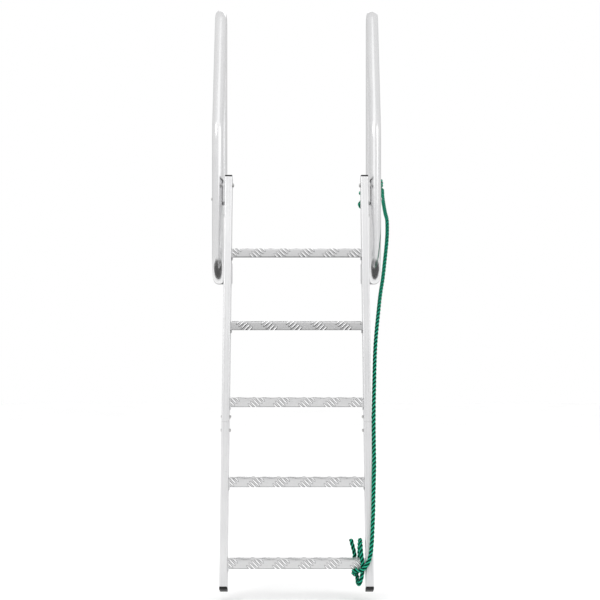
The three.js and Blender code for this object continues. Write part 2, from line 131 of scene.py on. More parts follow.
class Shading:
    """The nodes of a material or a world, and short calls for the ones that are used again and again."""

    def __init__(self, owner):
        owner.use_nodes = True
        self.nodes = owner.node_tree.nodes
        self.links = owner.node_tree.links

    def feed(self, node, **inputs):
        """Each input is a value or another node's output."""
        for name, value in inputs.items():
            socket = node.inputs[name.replace("_", " ")]
            if isinstance(value, bpy.types.NodeSocket):
                self.links.new(value, socket)
            else:
                socket.default_value = value

    def node(self, kind, settings=None, **inputs):
        node = self.nodes.new("ShaderNode" + kind)
        for name, value in (settings or {}).items():
            setattr(node, name, value)
        self.feed(node, **inputs)
        return node

    def place(self, kind, scale):
        """Texture coordinates, UV or Object, both in metres, stretched by scale."""
        source = self.node("TexCoord").outputs[kind]
        return self.node("Mapping", Vector=source, Scale=scale).outputs["Vector"]

    def noise(self, kind, scale, detail, roughness=0.5):
        node = self.node("TexNoise", Vector=self.place(kind, scale), Scale=1.0, Detail=detail,
                         Roughness=roughness)
        return node.outputs["Fac"]

    def attribute(self, name):
        return self.node("Attribute", {"attribute_name": name}).outputs["Fac"]

    def value(self, factor, low, high, from_low=0.3, from_high=0.7):
        """Turns the range of a factor into low to high."""
        limits = {"From_Min": from_low, "From_Max": from_high, "To_Min": low, "To_Max": high}
        return self.node("MapRange", Value=factor, **limits).outputs["Result"]

    def total(self, first, second):
        node = self.node("Math", {"operation": "ADD"})
        self.links.new(first, node.inputs[0])
        self.links.new(second, node.inputs[1])
        return node.outputs["Value"]

    def colours(self, factor, stops):
        """A ramp through (place, colour) stops. A single number is a grey."""
        node = self.node("ValToRGB", Fac=factor)
        elements = node.color_ramp.elements
        while len(elements) < len(stops):
            elements.new(0.5)
        for element, (position, colour) in zip(elements, stops):
            rgb = colour if isinstance(colour, tuple) else (colour,) * 3
            element.position = position
            element.color = (*rgb, 1)
        return node.outputs["Color"]

    def mix(self, factor, first, second, blend="MIX"):
        settings = {"data_type": "RGBA", "blend_type": blend}
        return self.node("Mix", settings, Factor=factor, A=first, B=second).outputs["Result"]

    def multiply(self, first, *others):
        for other in others:
            first = self.mix(1.0, first, other, "MULTIPLY")
        return first

    def bump(self, height, strength, distance, **under):
        """Raises a surface. Normal is the bump under it, if it has one."""
        node = self.node("Bump", Height=height, Strength=strength, Distance=distance, **under)
        return node.outputs["Normal"]


class Finish(Shading):
    """A material with one principled shader."""

    def __init__(self, name, **sockets):
        self.material = bpy.data.materials.new(name)
        super().__init__(self.material)
        self.finished(**sockets)

    def finished(self, **sockets):
        """The material, with values or nodes in the shader's sockets."""
        self.feed(self.nodes["Principled BSDF"], **sockets)
        return self.material


def grey(level, blue=0.004):
    return (level, level, level + blue)


def drawn_aluminium(name, light, dark, roughness, kind="UV"):
    """Metal with fine lines along its length, faint clouds and a few scuffs."""
    finish = Finish(name, Metallic=1.0)
    lines = finish.noise(kind, (1500, 9, 1500), 4)
    clouds = finish.noise("Object", (11, 11, 7), 3)
    scuffs = finish.noise("Object", (60, 60, 240), 5, 0.65)
    fine = finish.colours(lines, [(0.3, grey(dark)), (0.65, grey(light))])
    toned = finish.colours(clouds, [(0.3, (0.95, 0.95, 0.955)), (0.7, 1)])
    marked = finish.colours(scuffs, [(0.28, 0.9), (0.36, 1)])
    rough = finish.total(finish.value(lines, roughness, roughness + 0.1), finish.value(clouds, -0.03, 0.05))
    dents = finish.bump(scuffs, 0.08, 0.1 * MM, Normal=finish.bump(lines, 0.16, 0.05 * MM))
    return finish.finished(Base_Color=finish.multiply(fine, toned, marked), Roughness=rough, Normal=dents)


def rolled_aluminium(name):
    """Checker plate: a mottled rolled sheet. Its marks are 0 on the flat, a quarter at the foot of each
    raised bar and at the cut edges, and 1 on the bars' smooth backs. The bars' feet are painted with shade,
    the cut edges are darker, and the backs are bright with wear."""
    finish = Finish(name, Metallic=1.0)
    grain = finish.noise("Object", (420, 420, 420), 5, 0.6)
    streaks = finish.noise("UV", (60, 900, 1), 3)
    raised = finish.attribute("raised")
    base = finish.colours(grain, [(0.3, grey(0.62)), (0.7, grey(0.74))])
    # Painted shade at the bars' feet, darker cut edges, and the bars' backs brighter with wear.
    wear_and_painted_shade = finish.colours(raised, [(0.0, 0.98), (0.25, (0.14, 0.14, 0.15)), (0.5, 1.1), (1.0, 1.4)])
    drawn = finish.colours(streaks, [(0.35, 0.96), (0.6, 1)])
    rough = finish.total(finish.value(grain, 0.36, 0.5), finish.value(raised, 0.0, -0.12, 0.4, 1.0))
    pits = finish.bump(grain, 0.35, 0.12 * MM)
    return finish.finished(Base_Color=finish.multiply(base, wear_and_painted_shade, drawn), Roughness=rough, Normal=pits)


def welded_aluminium(name):
    """Frosty weld metal, with a little soot."""
    finish = Finish(name, Metallic=1.0)
    frost = finish.noise("Object", (900, 900, 900), 4)
    soot = finish.noise("Object", (120, 120, 120), 3)
    base = finish.colours(frost, [(0.3, grey(0.56)), (0.7, grey(0.72))])
    darkened = finish.colours(soot, [(0.32, (0.8, 0.79, 0.78)), (0.5, 1)])
    return finish.finished(Base_Color=finish.multiply(base, darkened), Roughness=finish.value(frost, 0.34, 0.55),
                           Normal=finish.bump(frost, 0.3, 0.1 * MM))


def stainless_steel(name):
    """Bright fasteners with turning marks and small dull spots."""
    finish = Finish(name, Metallic=1.0)
    marks = finish.noise("UV", (40, 4000, 1), 3)
    spots = finish.noise("Object", (700, 700, 700), 4)
    base = finish.colours(marks, [(0.3, (0.54, 0.535, 0.53)), (0.7, (0.67, 0.665, 0.66))])
    darkened = finish.colours(spots, [(0.3, (0.82, 0.81, 0.8)), (0.5, 1)])
    return finish.finished(Base_Color=finish.multiply(base, darkened), Roughness=finish.value(spots, 0.22, 0.4),
                           Normal=finish.bump(marks, 0.15, 0.04 * MM))


def moulded_plastic(name, dark, light, roughness):
    """Moulded plastic with a spark-eroded grain."""
    finish = Finish(name, Specular_IOR_Level=0.4)
    grain = finish.noise("Object", (1600, 1600, 1600), 2)
    wear = finish.noise("Object", (90, 90, 90), 4)
    rough = finish.total(finish.value(grain, roughness, roughness + 0.12), finish.value(wear, -0.04, 0.06))
    return finish.finished(Base_Color=finish.colours(wear, [(0.35, dark), (0.7, light)]), Roughness=rough,
                           Normal=finish.bump(grain, 0.4, 0.08 * MM))


def laid_rope(name):
    """Green polypropylene: each strand shows its yarns, and each yarn its fibres. U counts turns round
    a strand from a line that stays parallel to the rope, V is the length in metres, and the mark crown
    is 1 on the outside of a strand and falls to -1 in the rope's heart. That mark paints shade into the
    grooves between strands and a highlight on their outer sides, and the yarns' dark troughs are painted
    shade."""
    finish = Finish(name, Specular_IOR_Level=0.06)
    # A wave texture has 20 / (2 pi) bands to the unit.
    per_turn = YARNS * 2 * math.pi / 20
    waves = finish.node("TexWave", {"bands_direction": "X"}, Vector=finish.place("UV", (per_turn, 160, 1)),
                        Scale=1.0, Distortion=0.7, Detail=2.0)
    yarns = waves.outputs["Fac"]
    fibres = finish.noise("UV", (110, 260, 1), 4, 0.6)
    ageing = finish.noise("Object", (35, 35, 35), 3)
    # The yarn bands are the yarns' pattern, and their dark troughs are painted shade between the yarns.
    base = finish.colours(yarns, [(0.0, (0.003, 0.13, 0.072)), (0.4, (0.009, 0.32, 0.178)),
                                  (1.0, (0.03, 0.48, 0.29))])
    threads = finish.colours(fibres, [(0.3, 0.72), (0.7, (1.15, 1.12, 1.15))])
    sunned = finish.colours(ageing, [(0.3, (0.86, 0.9, 0.88)), (0.7, (1.08, 1.04, 1.06))])
    # Painted shade in the grooves between strands, darkest in the rope's heart, and a painted highlight on
    # the strands' outer sides.
    strand_shade_and_highlight_stops = [(0.0, (0.05, 0.09, 0.09)), (0.45, (0.16, 0.24, 0.24)), (0.8, (0.85, 0.9, 0.9)),
              (1.0, (1.9, 1.55, 1.6))]
    painted_strand_shade_and_highlight = finish.colours(finish.attribute("crown"), strand_shade_and_highlight_stops)
    hairs = finish.bump(fibres, 0.4, 0.12 * MM, Normal=finish.bump(yarns, 0.8, 0.4 * MM))
    return finish.finished(Base_Color=finish.multiply(base, threads, sunned, painted_strand_shade_and_highlight),
                           Roughness=finish.value(fibres, 0.45, 0.65), Normal=hairs)


def pale_floor(name):
    finish = Finish(name)
    mottle = finish.noise("Object", (3, 3, 3), 4)
    return finish.finished(Base_Color=finish.colours(mottle, [(0.3, 0.90), (0.7, 0.92)]),
                           Roughness=finish.value(mottle, 0.8, 0.9))


FINISHES = {
    "tube": drawn_aluminium("tube_aluminium", 0.81, 0.75, 0.2),
    "plate": drawn_aluminium("plate_aluminium", 0.84, 0.75, 0.34, "Object"),
    "extrusion": drawn_aluminium("extruded_aluminium", 0.82, 0.75, 0.34),
    "checker_plate": rolled_aluminium("checker_plate_aluminium"),
    "weld": welded_aluminium("weld_aluminium"),
    "stainless_steel": stainless_steel("stainless_steel"),
    "black_plastic": moulded_plastic("black_plastic", (0.003, 0.003, 0.0035), (0.008, 0.008, 0.009), 0.5),
    "white_plastic": moulded_plastic("white_plastic", (0.62, 0.61, 0.57), (0.78, 0.77, 0.73), 0.35),
    "rope": laid_rope("green_rope"),
    "floor": pale_floor("floor"),
}


# ------------ mesh work

class Solid:
    """Vertices and faces of one piece, with a UV for every corner of every face."""

    def __init__(self):
        self.points = []
        self.faces = []
        self.corners = []
        self.marks = {}

    def face(self, indices, corners):
        self.faces.append(tuple(indices))
        self.corners.extend(corners)

    def add_points(self, points):
        first = len(self.points)
        self.points.extend(tuple(p) for p in points)
        return first

    def sweep(self, rings, along, around, capped=True, closed=False):
        """Skins rings of points. along is each ring's V, with one more if the last ring joins the first.
        around is each point's U, with one more at the end."""
        count = len(rings[0])
        firsts = [self.add_points(ring) for ring in rings]
        if closed:
            firsts.append(firsts[0])
        for a, b, v_a, v_b in zip(firsts, firsts[1:], along, along[1:]):
            for i in range(count):
                j = (i + 1) % count
                u, w = around[i], around[i + 1]
                self.face((a + i, a + j, b + j, b + i), [(u, v_a), (w, v_a), (w, v_b), (u, v_b)])
        if capped and not closed:
            for first, v, way in ((firsts[0], along[0], -1), (firsts[-1], along[-1], 1)):
                order = range(count)[::way]
                self.face([first + i for i in order], [(around[i], v) for i in order])

    def piece(self, name, body, slot, replaces=None, sharp=35, mark=None, finish=None):
        """The finished object. It has its slot's finish, unless another is named."""
        mesh = bpy.data.meshes.new(name)
        mesh.from_pydata(self.points, [], self.faces)
        layer = mesh.uv_layers.new(name="UVMap")
        layer.data.foreach_set("uv", np.array(self.corners, np.float32).ravel())
        if mark:
            values = np.zeros(len(self.points), np.float32)
            values[list(self.marks)] = list(self.marks.values())
            mesh.attributes.new(mark, "FLOAT", "POINT").data.foreach_set("value", values)
        outward(mesh)
        mesh.shade_smooth()
        mesh.set_sharp_from_angle(angle=math.radians(sharp))
        mesh.materials.append(FINISHES[finish or slot])
        obj = add_object(name, mesh)
        if body:
            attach(obj, body)
        if replaces:
            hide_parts(replaces)
        return obj


def outward(mesh):
    """Turns every closed shell's faces outwards."""
    work = bmesh.new()
    work.from_mesh(mesh)
    bmesh.ops.recalc_face_normals(work, faces=work.faces)
    work.to_mesh(mesh)
    work.free()


def lengths_along(points):
    total = [0.0]
    for a, b in zip(points, points[1:]):
        total.append(total[-1] + (Vector(b) - Vector(a)).length)
    return total


def girth_of(section):
    return lengths_along([(*p, 0) for p in [*section, section[0]]])


def circle(radius, sides, centre=(0, 0)):
    turn = 2 * math.pi / sides
    return [(centre[0] + radius * math.cos(i * turn), centre[1] + radius * math.sin(i * turn))
            for i in range(sides)]


def rounded_rectangle(width, length, corner, steps=6):
    points = []
    for quarter, (across, up) in enumerate(((1, 1), (-1, 1), (-1, -1), (1, -1))):
        for i in range(steps + 1):
            angle = (quarter + i / steps) * math.pi / 2
            points.append((across * (width / 2 - corner) + corner * math.cos(angle),
                           up * (length / 2 - corner) + corner * math.sin(angle)))
    return points


def inset(outline, distance):
    """The outline with every point moved to its left, which is inwards if it runs anticlockwise."""
    moved = []
    count = len(outline)
    for i, point in enumerate(outline):
        before = Vector(point) - Vector(outline[i - 1])
        after = Vector(outline[(i + 1) % count]) - Vector(point)
        first = Vector((-before.y, before.x)).normalized()
        second = Vector((-after.y, after.x)).normalized()
        along = first + second
        moved.append(tuple(Vector(point) + along * (distance * 2 / along.length_squared)))
    return moved


def plate_piece(node, outline, holes, thick, place, chamfer=0.5 * MM):
    """A flat plate with chamfered edges. place turns (across, up, through) into a point of the frame."""
    solid = Solid()
    loops = [outline, *[hole[::-1] for hole in holes]]
    levels = ((0.0, chamfer), (chamfer, 0.0), (thick - chamfer, 0.0), (thick, chamfer))
    rims = []
    for loop in loops:
        rings = [[place(a, b, level) for a, b in inset(loop, inwards)] for level, inwards in levels]
        first = len(solid.points)
        solid.sweep(rings, [level for level, _ in levels], girth_of(loop), capped=False)
        rims.append((first, first + (len(levels) - 1) * len(loop)))
    flat = [[Vector((*p, 0)) for p in inset(loop, chamfer)] for loop in loops]
    triangles = geometry.tessellate_polygon(flat)
    where = [(rim, i) for rim, loop in enumerate(loops) for i in range(len(loop))]
    spots = [p for loop in flat for p in loop]
    for end in (0, 1):
        for triangle in triangles:
            order = triangle[::-1] if end else triangle
            solid.face([rims[where[k][0]][end] + where[k][1] for k in order],
                       [(spots[k].x, spots[k].y) for k in order])
    solid.piece(f"{node}_fine", "handrails", "plate", node)


def hexagon_radius(flat, angle):
    """How far the side of a hexagon is from its middle, at an angle. flat is half its width."""
    sixth = math.pi / 3
    return flat / math.cos(angle % sixth - sixth / 2)


def turned_piece(node, body, slot, profile, side, closed=True, sharp=30, segments=36):
    """A turned piece on a line parallel to X. Each ring of the profile is (radius, distance from the
    ladder's middle), or (radius, distance, half-width of a hexagon that cuts the ring). A closed profile
    runs round a bore."""
    _, _, y, z, _ = span(node)
    turn = 2 * math.pi / segments
    rings = []
    for radius, distance, *flat in profile:
        points = []
        for i, (a, b) in enumerate(circle(1, segments)):
            reach = min(radius, hexagon_radius(*flat, i * turn)) if flat else radius
            points.append((side * distance, y + reach * a, z + reach * b))
        rings.append(points)
    outline = [*profile, profile[0]] if closed else profile
    along = lengths_along([(*ring[:2], 0) for ring in outline])
    solid = Solid()
    solid.sweep(rings, along, [i / segments for i in range(segments + 1)], closed=closed)
    solid.piece(f"{node}_fine", body, slot, node, sharp)


def bead(solid, path, radius, closed=False, ripple=2.2 * MM):
    """A weld bead along a path, with the ripples of a welder's even steps."""
    sides = 10
    path = [Vector(p) for p in path]
    length = lengths_along([*path, path[0]] if closed else path)
    rings = []
    for i, point in enumerate(path):
        ahead = path[(i + 1) % len(path)] if closed or i + 1 < len(path) else path[i]
        behind = path[i - 1] if closed or i else path[i]
        tangent = (ahead - behind).normalized()
        side = tangent.orthogonal().normalized() if i == 0 else side_of(tangent, side)
        other = tangent.cross(side)
        wave = 0.5 + 0.5 * math.cos(2 * math.pi * length[i] / ripple)
        reach = radius * (0.86 + 0.14 * wave + 0.04 * dice.uniform(-1, 1))
        if not closed:
            reach *= min(1.0, 0.35 + (min(length[i], length[-1] - length[i])) / radius)
        rings.append([point + reach * (a * side + b * other) for a, b in circle(1, sides)])
    around = [i * 2 * math.pi * radius / sides for i in range(sides + 1)]
    solid.sweep(rings, length, around, closed=closed)


def side_of(tangent, before):
    """The direction square to the tangent that is nearest to the one before."""
    return (before - tangent * before.dot(tangent)).normalized()


def between(start, end, step=0.55 * MM):
    """Points along a straight line."""
    start, end = Vector(start), Vector(end)
    count = max(2, round((end - start).length / step))
    return [start.lerp(end, i / count) for i in range(count + 1)]


def on_ladder(x, y, z):
    """A point of the ladder's own frame: y is across the stile's depth and z along the stile."""
    return Vector((x, PIVOT.y + y * math.cos(LEAN) + z * math.sin(LEAN),
                   PIVOT.z - y * math.sin(LEAN) + z * math.cos(LEAN)))


# ------------ rope

# The same routes as the CAD's, in millimetres. The line runs from the hitch on the rear leg, past the
# front leg and down the right stile.
LINE_ROUTE = (
    (309, 171.9, 97), (308.5, 150, 89), (307.2, 110, 70), (308, 40, 33), (310, -20, 1),
    (313, -64, -23), (312.8, -86, -54), (310, -112, -92), (300, -150, -172), (292, -178, -229),
    (282.5, -212, -279), (276, -240, -322), (261.5, -296, -448), (254.5, -354, -580),
    (250.8, -397, -690), (250.2, -425, -774), (250, -447, -825), (248, -468, -872),
    (245.8, -487, -922), (244, -506, -970), (240.5, -529, -1026), (237.5, -545, -1066),
    (231.5, -554, -1109), (222.5, -557.5, -1132), (212.5, -557.6, -1145),
)

# Across the last step's front, under it and up behind, over the tread and down in front, then through a
# hanging bight to the tail that stands up behind the step.
STEP_HITCH_ROUTE = (
    (208.7, -557.6, -1149.6), (203, -557.4, -1151.8), (197, -557, -1152.8), (190, -555.5, -1152.3),
    (183.8, -551.5, -1152), (180, -545.5, -1155.5), (179.5, -541, -1161), (182, -536, -1166.5),
    (188, -524, -1168), (193, -508, -1165), (197, -490, -1161), (200, -476, -1154),
    (201, -471, -1140), (201, -471.5, -1118), (201, -474, -1094), (201.5, -485, -1072),
    (202.2, -508, -1063), (202.8, -531, -1073), (203.5, -543, -1093), (205.5, -544.6, -1112),
    (208, -544.8, -1132), (208.5, -544.8, -1150), (206.5, -545, -1168), (203, -544, -1184),
    (199.5, -539, -1195), (196, -528, -1199.5), (194, -517, -1194), (193.5, -507, -1184),
    (192.5, -496, -1177), (189.5, -484, -1172), (186, -472, -1164), (184, -463, -1152),
    (184.5, -461, -1136), (186.3, -461, -1118), (181.5, -459, -1095), (174, -456, -1067),
)

# Round the rear leg, from its tail to the line: an angle round the leg from +X towards the jetty, how
# far the rope rides outside a plain turn, and its height, in degrees and millimetres.
RAIL_HITCH_TURNS = (
    (570, 0, 33), (555, 2, 37), (540, 3, 43), (525, 2.5, 50), (508, 2, 56), (495, 5, 63),
    (490, 10, 74), (490, 13, 88), (478, 12, 103), (460, 7, 117), (435, 2, 128), (405, 0, 134),
    (380, -2, 131), (360, -3, 121), (340, -2, 110), (315, 0, 104), (270, 0, 97), (225, 0, 90),
    (180, 0, 86), (135, 0, 89), (90, 0, 93), (45, 0, 98), (14, 0, 99),
)
HITCH_ACROSS, HITCH_ALONG = 39, 28


def rail_hitch_route(leg_x, leg_y):
    route = []
    for degrees, outside, z in RAIL_HITCH_TURNS:
        angle = math.radians(degrees)
        route.append((leg_x + (HITCH_ACROSS + outside) * math.cos(angle),
                      leg_y + (HITCH_ALONG + outside) * math.sin(angle), z))
    return route


def smooth_route(route):
    """A centripetal Catmull-Rom curve through the route's points."""
    knots = [2 * route[0] - route[1], *route, 2 * route[-1] - route[-2]]
    points = []
    for p0, p1, p2, p3 in zip(knots, knots[1:], knots[2:], knots[3:]):
        d0, d1, d2 = (math.sqrt(np.linalg.norm(b - a)) for a, b in ((p0, p1), (p1, p2), (p2, p3)))
        t1 = d1 * ((p1 - p0) / d0 - (p2 - p0) / (d0 + d1) + (p2 - p1) / d1)
        t2 = d1 * ((p2 - p1) / d1 - (p3 - p1) / (d1 + d2) + (p3 - p2) / d2)
        for i in range(SPAN_POINTS):
            t = i / SPAN_POINTS
            points.append(p1 + t1 * t + (-3 * p1 + 3 * p2 - 2 * t1 - t2) * t**2
                          + (2 * p1 - 2 * p2 + t1 + t2) * t**3)
    return [*points, route[-1]]


def even_points(points, step):
    """The same line with points an even distance apart, and how far along it each given point is."""
    points = np.array(points)
    along = np.concatenate([[0], np.cumsum(np.linalg.norm(np.diff(points, axis=0), axis=1))])
    wanted = np.linspace(0, along[-1], round(along[-1] / step) + 1)
    even = np.stack([np.interp(wanted, along, points[:, axis]) for axis in range(3)], axis=1)
    return even, wanted, along


def strands(solid, centres, frames, along, ends):
    """Three strands round the rope's centre line. ends says which of its two ends is a sealed tip."""
    turn = 2 * math.pi / STRAND_SIDES
    stretch = math.hypot(1, 2 * math.pi * STRAND_OFF / ROPE_LAY)
    for strand in range(3):
        rings = []
        for centre, (first, second), s in zip(centres, frames, along):
            angle = 2 * math.pi * (s / ROPE_LAY + strand / 3)
            radial = first * math.cos(angle) + second * math.sin(angle)
            sideways = second * math.cos(angle) - first * math.sin(angle)
            taper = tip_taper(s, along, ends)
            middle = centre + radial * STRAND_OFF * taper
            lump = LUMP["share"] * math.sin(s * LUMP["turn"] + 2 * strand)
            plump = STRAND_R * taper * (1 + lump)
            rings.append([
                middle + plump * (math.cos(i * turn) * radial + stretch * math.sin(i * turn) * sideways)
                for i in range(STRAND_SIDES)
            ])
        around = [i / STRAND_SIDES for i in range(STRAND_SIDES + 1)]
        before = len(solid.corners)
        first_point = len(solid.points)
        solid.sweep(rings, list(along), around)
        for k in range(len(rings) * STRAND_SIDES):
            solid.marks[first_point + k] = math.cos(k % STRAND_SIDES * turn)
        # U runs with the yarns, which stay parallel to the rope.
        for k in range(before, len(solid.corners)):
            u, v = solid.corners[k]
            solid.corners[k] = (u + v / ROPE_LAY, v)


def tip_taper(s, along, ends):
    """1 along the rope, and less at a sealed tip."""
    taper = 1.0
    for is_tip, gap in zip(ends, (s - along[0], along[-1] - s)):
        if is_tip:
            taper *= math.sqrt(1 - (1 - min(1.0, 0.25 + gap / (4 * MM))) ** 2)
    return taper


def rope_frames(points):
    """Two directions square to the rope at each point, carried along without twisting."""
    tangents = np.gradient(points, axis=0)
    frames = []
    first = None
    for tangent in tangents:
        tangent = Vector(tangent).normalized()
        first = tangent.orthogonal().normalized() if first is None else side_of(tangent, first)
        frames.append((np.array(first), np.array(tangent.cross(first))))
    return frames


def make_rope():
    rail_low, rail_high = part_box("handrail_right")
    leg_x = (rail_low.x + rail_high.x) / 2 / MM
    leg_y = (rail_high.y - (rail_high.x - rail_low.x) / 2) / MM
    hitch = rail_hitch_route(leg_x, leg_y)
    route = [np.array(p, float) * MM for p in (*hitch, *LINE_ROUTE, *STEP_HITCH_ROUTE)]
    points, along, given = even_points(smooth_route(route), ROPE_STEP)
    line_from = int(np.searchsorted(along, given[len(hitch) * SPAN_POINTS]))
    line_to = int(np.searchsorted(along, given[(len(hitch) + len(LINE_ROUTE) - 1) * SPAN_POINTS]))
    frames = rope_frames(points)

    pieces = {}
    stretches = (
        ("rope_rail_hitch", "handrails", 0, line_from, (True, False)),
        ("rope_line", None, line_from, line_to, (False, False)),
        ("rope_step_hitch", "ladder", line_to, len(points) - 1, (False, True)),
    )
    for node, body, start, end, ends in stretches:
        solid = Solid()
        part = slice(start, end + 1)
        strands(solid, points[part], frames[part], along[part], ends)
        pieces[node] = solid.piece(f"{node}_strands", body, "rope", node, sharp=80, mark="crown")

    line = points[line_from:line_to + 1]
    # The line bends in its upper part and lies along the ladder below; its place is baked into its mesh.
    start = line[0] * 0.8 + first_below(line, -20 * MM) * 0.2
    end = first_below(line, -280 * MM)
    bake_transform(pieces["rope_line"], "handrails", "ladder", start=tuple(start), end=tuple(end))


def first_below(line, height):
    """The first point of the line that is below a height."""
    return line[np.argmax(line[:, 2] < height)]


# ------------ handrails and their plates

def rail_centre_line(side):
    """Points and tangents of a handrail's centre line, from the jetty's front round to the deck."""
    low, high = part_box("handrail_right")
    radius = (high.x - low.x) / 2
    x = side * (low.x + high.x) / 2
    front, rear = low.y + radius, high.y - radius
    run_z, top_z = low.z + radius, high.z - radius
    centre_top = Vector((x, rear - TOP_BEND_R, top_z - TOP_BEND_R))
    slope_top = centre_top + TOP_BEND_R * Vector((0, -math.cos(RAIL_SLOPE), math.sin(RAIL_SLOPE)))
    kink_z = slope_top.z - (slope_top.y - front) / math.tan(RAIL_SLOPE)
    kink_from = kink_z - KINK_R * math.tan(RAIL_SLOPE / 2)
    bends = (
        (Vector((x, front + BOTTOM_BEND_R, run_z + BOTTOM_BEND_R)), BOTTOM_BEND_R, -math.pi / 2, -math.pi),
        (Vector((x, front + KINK_R, kink_from)), KINK_R, math.pi, math.pi - RAIL_SLOPE),
        (centre_top, TOP_BEND_R, math.pi - RAIL_SLOPE, 0),
    )
    plate_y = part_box("dock_plate_right")[0].y
    foot_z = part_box("foot_plate_right")[1].z
    stations = [(Vector((x, plate_y, run_z)), Vector((0, -1, 0)))]
    for centre, bend_r, start, end in bends:
        steps = max(4, round(abs(end - start) / BEND_STEP))
        for i in range(steps + 1):
            angle = start + (end - start) * i / steps
            outwards = Vector((0, math.cos(angle), math.sin(angle)))
            tangent = Vector((0, -math.sin(angle), math.cos(angle))) * math.copysign(1, end - start)
            stations.append((centre + outwards * bend_r, tangent))
    stations.append((Vector((x, rear, foot_z)), Vector((0, 0, -1))))
    return stations, radius


def straights_filled(stations, longest=60 * MM):
    """The same stations, with more on the long straight stretches."""
    filled = [stations[0]]
    for (start, _), (end, tangent) in zip(stations, stations[1:]):
        count = max(1, math.ceil((end - start).length / longest))
        filled.extend((start.lerp(end, i / count), tangent) for i in range(1, count + 1))
    return filled


def make_handrail(word, side):
    stations, radius = rail_centre_line(side)
    stations = straights_filled(stations)
    across = Vector((1, 0, 0))
    solid = Solid()
    rings = []
    for point, tangent in stations:
        other = tangent.cross(across)
        rings.append([point + radius * (a * across + b * other) for a, b in circle(1, TUBE_SIDES)])
    around = [i * 2 * math.pi * radius / TUBE_SIDES for i in range(TUBE_SIDES + 1)]
    solid.sweep(rings, lengths_along([p for p, _ in stations]), around)
    solid.piece(f"handrail_{word}_tube", "handrails", "tube", f"handrail_{word}")

    welds = Solid()
    foot = stations[-1][0]
    foot_circle = circle(radius + 0.9 * MM, BEAD_STEPS, (foot.x, foot.y))
    bead(welds, [(x, y, foot.z + 1.2 * MM) for x, y in foot_circle], 3 * MM, closed=True)
    run = stations[0][0]
    run_circle = circle(radius + 0.2 * MM, BEAD_STEPS, (run.x, run.z))
    bead(welds, [(x, run.y - 0.9 * MM, z) for x, z in run_circle], 1.7 * MM, closed=True)
    # The hinge plate is welded in the grooves between it and the tube's back and front.
    plate_low, plate_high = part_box("hinge_plate_right")
    plate_x = side * (plate_high.x + 1.4 * MM)
    tube_y = min(point.y for point, _ in stations)
    grooves = ((tube_y + 9.5 * MM, plate_low.z + 5 * MM, plate_low.z + 50 * MM),
               (tube_y - 10 * MM, plate_low.z + 12 * MM, plate_high.z - 8 * MM))
    for y, start, end in grooves:
        bead(welds, between((plate_x, y, start), (plate_x, y, end)), 2.3 * MM)
    welds.piece(f"handrail_{word}_welds", "handrails", "plate", sharp=60, finish="weld")


def arc(centre, radius, start, end, steps=8):
    """Points of an arc between two angles in degrees."""
    angles = [math.radians(start + (end - start) * i / steps) for i in range(steps + 1)]
    return [(centre[0] + radius * math.cos(a), centre[1] + radius * math.sin(a)) for a in angles]


def make_dock_plate(word, side):
    """The plate follows the tube's own round below and outside it, and reaches inwards for two screws."""
    low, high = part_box("dock_plate_right")
    rail_low, rail_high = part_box("handrail_right")
    tube_r = (rail_high.x - rail_low.x) / 2
    tube_x, tube_z = rail_low.x + tube_r, rail_low.z + tube_r
    corner = 6 * MM
    left, right, top = low.x + corner, high.x - corner, high.z - corner
    outline = arc((tube_x, tube_z), high.x - tube_x, -90, 0, 24)
    for start, centre in ((0, (right, top)), (90, (left, top)), (180, (left, low.z + corner))):
        outline += arc(centre, corner, start, start + 90)
    # Two holes beside the tube, and one above it, in millimetres.
    spots = ((237, -184), (237, -236), (278, -184))
    holes = [circle(4.5 * MM, HOLE_SIDES, (x * MM, z * MM)) for x, z in spots]
    plate_piece(f"dock_plate_{word}", outline, holes, high.y - low.y,
                lambda a, b, c: (side * a, high.y - c, b))


def make_foot_plate(word):
    low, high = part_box(f"foot_plate_{word}")
    middle = (low + high) / 2
    outline = rounded_rectangle(high.x - low.x, high.y - low.y, 8 * MM)
    holes = [circle(5 * MM, HOLE_SIDES, (0, away)) for away in (-36 * MM, 36 * MM)]
    plate_piece(f"foot_plate_{word}", outline, holes, high.z - low.z,
                lambda a, b, c: (middle.x + a, middle.y + b, low.z + c), chamfer=0.8 * MM)


def outline_round(circles, steps=24):
    """The outline round some circles (y, z, radius), given anticlockwise, with straight edges between."""
    leaving = []
    for (y, z, radius), (next_y, next_z, next_radius) in zip(circles, [*circles[1:], circles[0]]):
        across, up = next_y - y, next_z - z
        leaving.append(math.atan2(up, across) - math.acos((radius - next_radius) / math.hypot(across, up)))
    outline = []
    for i, (y, z, radius) in enumerate(circles):
        turn = (leaving[i] - leaving[i - 1]) % (2 * math.pi)
        for k in range(steps + 1):
            angle = leaving[i - 1] + turn * k / steps
            outline.append((y + radius * math.cos(angle), z + radius * math.sin(angle)))
    return outline


def make_hinge_plate(word, side):
    low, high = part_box(f"hinge_plate_{word}")
    pivot = span(f"pivot_bolt_{word}")[2:4]
    stop = span(f"stop_bolt_{word}")[2:4]
    toe_r = 18 * MM
    outline = outline_round([(*pivot, 16 * MM), (low.y + toe_r, low.z + toe_r, toe_r), (*stop, 20 * MM)])
    holes = [circle(BOLT_HOLE_R, HOLE_SIDES, place) for place in (pivot, stop)]
    inner = low.x if side > 0 else high.x
    plate_piece(f"hinge_plate_{word}", outline, holes, high.x - low.x,
                lambda a, b, c: (inner + side * c, a, b))


# ------------ fasteners

def span(node):
    """A node's inner and outer distance from the ladder's middle, its place in y and z, and its radius."""
    low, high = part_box(node)
    inner, outer = sorted((abs(low.x), abs(high.x)))
    return inner, outer, (low.y + high.y) / 2, (low.z + high.z) / 2, (high.z - low.z) / 2


